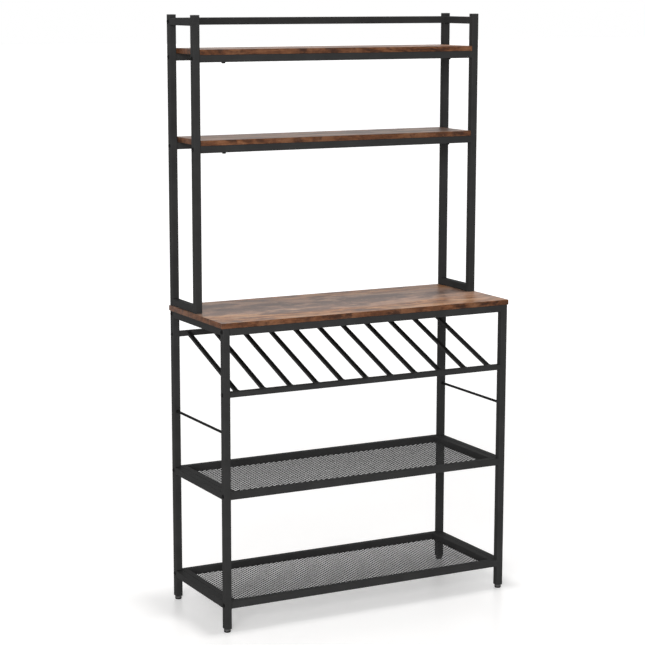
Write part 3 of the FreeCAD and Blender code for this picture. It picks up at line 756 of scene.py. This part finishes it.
def ripples_of(low, high, end, level):
    """The places of a weld's ripples across a rail, at one end and one level of it."""
    count = int((high.x - low.x - WELD_ENDS) / WELD_STEP)
    first = (low.x + high.x - (count - 1) * WELD_STEP) / 2
    phase = WOBBLE_PER_DEPTH * end + WOBBLE_PER_HEIGHT * level
    return [
        (
            first + number * WELD_STEP,
            end,
            level + WELD_WOBBLE * math.sin(WOBBLE_STEP * number + phase),
        )
        for number in range(count)
    ]


def make_welds():
    """Rippled welds above and below the side rails, where they meet the posts."""
    bpy.ops.object.select_all(action="DESELECT")
    bpy.ops.mesh.primitive_uv_sphere_add(segments=8, ring_count=6, radius=WELD)
    ripple = settle("ripple")
    spots = []
    for rail, welded in SIDE_RAIL_WELDS:
        for side in ("left", "right"):
            low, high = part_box(f"{rail}_{side}")
            levels = {"below": low.z, "above": high.z}
            for where in welded:
                for end in (low.y, high.y):
                    spots += ripples_of(low, high, end, levels[where])
    welds = copies("welds", ripple, [Matrix.Translation(spot) for spot in spots])
    activate(welds)
    bpy.ops.object.shade_smooth()
    # Painted shade: the welds in the joints get the near black copy of the frame's coat.
    finish_piece(welds, "rack", "frame_steel", (painted_shade_coat,))


def round_rim(piece, direction, place, width, segments):
    """Round or chamfer the rim of a fastener's piece at a place along a direction."""
    edit(piece)
    pick(piece, "EDGE", rim(direction, place))
    bevel(width, segments)
    close(piece, FASTENER_SHARP_ANGLE)


def make_bolt():
    """A bolt with a low domed head and a hexagonal key socket, head towards +X."""
    crown = BOLT_HEAD_HEIGHT * RIGHT
    head = add_round("bolt", BOLT_HEAD_RADIUS, Vector(), crown, sides=32)
    round_rim(head, RIGHT, BOLT_HEAD_HEIGHT, HEAD_ROUND, 4)
    depth = SOCKET_DEPTH * RIGHT
    carve(head, add_round("key", SOCKET_RADIUS, crown - depth, crown + depth, sides=6))
    tip, root = -BOLT_LENGTH * RIGHT, SHANK_IN_HEAD * RIGHT
    shank = add_round("shank", BOLT_RADIUS, tip, root, sides=20)
    round_rim(shank, RIGHT, -BOLT_LENGTH, SHANK_CHAMFER, 1)
    return join("bolt", (head, shank))


def make_frame_bolts(name, node, rails):
    """Bolts through the posts into the ends of the cross rails."""
    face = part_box(node)[1].x - BOLT_HEAD_HEIGHT
    turns = []
    for rail in rails:
        low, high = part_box(rail)
        middle = (low + high) / 2
        turns.append(Matrix.Translation((face, middle.y, middle.z)))
        turns.append(
            Matrix.Translation((-face, middle.y, middle.z)) @ Matrix.Rotation(math.pi, 4, "Z")
        )
    bolts = copies(name, make_bolt(), turns)
    finish_piece(bolts, "rack", "black_fasteners", (black_oxide,), node)


def make_screw():
    """A wood screw with a round-edged head and a cross recess, head towards -Z."""
    crown = SCREW_HEAD_HEIGHT * DOWN
    head = add_round("screw", SCREW_HEAD_RADIUS, crown, Vector(), sides=28)
    round_rim(head, UP, -SCREW_HEAD_HEIGHT, HEAD_ROUND, 4)
    for length, width in ((CROSS_REACH, CROSS_HALF_WIDTH), (CROSS_HALF_WIDTH, CROSS_REACH)):
        reach = Vector((length, width, SOCKET_DEPTH))
        carve(head, add_block("key", crown - reach, crown + reach))
    root, tip = SHANK_IN_HEAD * DOWN, SCREW_LENGTH * UP
    shank = add_round("shank", SCREW_RADIUS, root, tip, sides=16)
    round_rim(shank, UP, SCREW_LENGTH, SHANK_CHAMFER, 1)
    return join("screw", (head, shank))


def make_shelf_screws(level):
    """Screws up through the shelf rails into the board."""
    node = f"{level}_shelf_screws"
    low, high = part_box(node)
    turns = [
        Matrix.Translation((x, y, low.z + SCREW_HEAD_HEIGHT))
        for x in (low.x + SCREW_HEAD_RADIUS, high.x - SCREW_HEAD_RADIUS)
        for y in (low.y + SCREW_HEAD_RADIUS, high.y - SCREW_HEAD_RADIUS)
    ]
    screws = copies(f"{level}_shelf_pan_screws", make_screw(), turns)
    finish_piece(screws, "rack", "black_fasteners", (black_oxide,), node)


def make_foot(corner):
    """A levelling foot: a rubber sole and a plastic top with a groove between them."""
    node = f"foot_pad_{corner}"
    low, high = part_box(node)
    middle = (low + high) / 2
    radius = (high.x - low.x) / 2
    start = Vector((middle.x, middle.y, low.z))
    end = Vector((middle.x, middle.y, high.z))
    foot = add_round(f"foot_{corner}_levelling", radius, start, end, sides=40)
    edit(foot)
    for level in (PAD_SPLIT - PAD_GROOVE, PAD_SPLIT + PAD_GROOVE):
        cut((0, 0, level), UP)
    pick(foot, "FACE", lambda face: abs(face.calc_center_median().z - PAD_SPLIT) < SAME_PLACE)
    bpy.ops.mesh.inset(thickness=PAD_GROOVE_SLOPE, depth=-PAD_GROOVE, use_even_offset=True)
    pick(foot, "EDGE", rim(UP, low.z))
    bevel(PAD_ROUND)
    pick(foot, "EDGE", rim(UP, high.z))
    bevel(PAD_TOP_ROUND)
    close(foot, FASTENER_SHARP_ANGLE)
    finish_piece(foot, f"foot_{corner}", "foot_rubber", (black_rubber, grey_plastic), node)
    paint(foot, lambda face: face.center.z >= PAD_SPLIT)


finish_cad_nodes()
make_board("worktop", "tabletop")
make_board("lower_shelf", "lower_shelf_board")
make_board("upper_shelf", "upper_shelf_board")
make_mesh_panel("lower_expanded_mesh", "lower_mesh_panel")
make_mesh_panel("upper_expanded_mesh", "upper_mesh_panel")
make_bottle_bars()
make_hook_rod("left")
make_hook_rod("right")
make_welds()
make_frame_bolts("lower_frame_round_bolts", "lower_frame_bolts", LOWER_CROSS_RAILS)
make_frame_bolts("hutch_frame_round_bolts", "hutch_frame_bolts", HUTCH_CROSS_RAILS)
make_shelf_screws("lower")
make_shelf_screws("upper")
for corner in ("front_left", "front_right", "back_left", "back_right"):
    make_foot(corner)


# ---------------------------------------------------------------- studio


def rays(tree, *kinds):
    """1 for the rays of these kinds, 0 for the rest."""
    path = tree.nodes.new("ShaderNodeLightPath")
    value = path.outputs[kinds[0]]
    for kind in kinds[1:]:
        value = math_of(tree, "MAXIMUM", value, path.outputs[kind])
    return value


def make_world():
    """White to look at and in reflections, and a soft dome of light."""
    world = bpy.data.worlds.new("studio")
    bpy.context.scene.world = world
    world.use_nodes = True
    tree = world.node_tree
    seen = rays(tree, "Is Camera Ray", "Is Glossy Ray", "Is Transmission Ray")
    background = tree.nodes["Background"]
    background.inputs["Color"].default_value = (1, 1, 1, 1)
    feed(tree, background.inputs["Strength"], stretch(tree, seen, 0.0, 1.0, DOME, 1.0))


def make_floor():
    """A pale floor that glows a little for the camera, and more far from the rack."""
    bpy.ops.object.select_all(action="DESELECT")
    bpy.ops.mesh.primitive_plane_add(size=FLOOR_SIZE)
    floor = bpy.context.object
    floor.name = "floor"
    material, tree, shader = new_material("pale_floor", specular=0.3)
    speckle = noise(tree, object_place(tree), 3.0, 2.0)["Fac"]
    tint = ramp(tree, speckle, *zip((0.0, 1.0), FLOOR_TINTS))
    feed(tree, shader.inputs["Base Color"], tint)
    shader.inputs["Roughness"].default_value = 0.35
    shader.inputs["Emission Color"].default_value = (1, 1, 1, 1)
    distance = tree.nodes.new("ShaderNodeVectorMath")
    distance.operation = "LENGTH"
    feed(tree, distance.inputs[0], object_place(tree))
    glow = stretch(tree, distance.outputs["Value"], *GLOW_PLACES, *GLOW)
    seen_glow = math_of(tree, "MULTIPLY", rays(tree, "Is Camera Ray"), glow)
    feed(tree, shader.inputs["Emission Strength"], seen_glow)
    floor.data.materials.append(material)


def make_lamp(name, place, target, size, power):
    """A square lamp that points at a target."""
    lamp = bpy.data.objects.new(name, bpy.data.lights.new(name, "AREA"))
    bpy.context.scene.collection.objects.link(lamp)
    lamp.data.size = size
    lamp.data.energy = power
    lamp.location = place
    lamp.rotation_euler = (Vector(target) - Vector(place)).to_track_quat("-Z", "Y").to_euler()


def make_camera():
    """A long lens in front of the rack, to its left and a little above it."""
    camera = bpy.data.objects.new("camera", bpy.data.cameras.new("camera"))
    bpy.context.scene.collection.objects.link(camera)
    aim = Euler((math.radians(90 - CAMERA_DOWN), 0, math.radians(-CAMERA_RIGHT)))
    roll = Matrix.Rotation(math.radians(CAMERA_ROLL), 4, "Z")
    camera.matrix_world = Matrix.Translation(CAMERA_PLACE) @ aim.to_matrix().to_4x4() @ roll
    camera.data.sensor_width = CAMERA_SENSOR
    camera.data.lens = CAMERA_LENS
    camera.data.shift_x, camera.data.shift_y = CAMERA_SHIFT
    camera.data.clip_end = CAMERA_REACH
    bpy.context.scene.camera = camera


make_world()
make_floor()
make_lamp("key", place=(-6.0, -7.9, 3.4), target=(0, 0, 0.9), size=5, power=740)
make_lamp("overhead", place=(0, -0.1, 9), target=(0, -0.1, 0), size=0.5, power=240)
make_camera()
bpy.context.scene.view_settings.view_transform = "Standard"
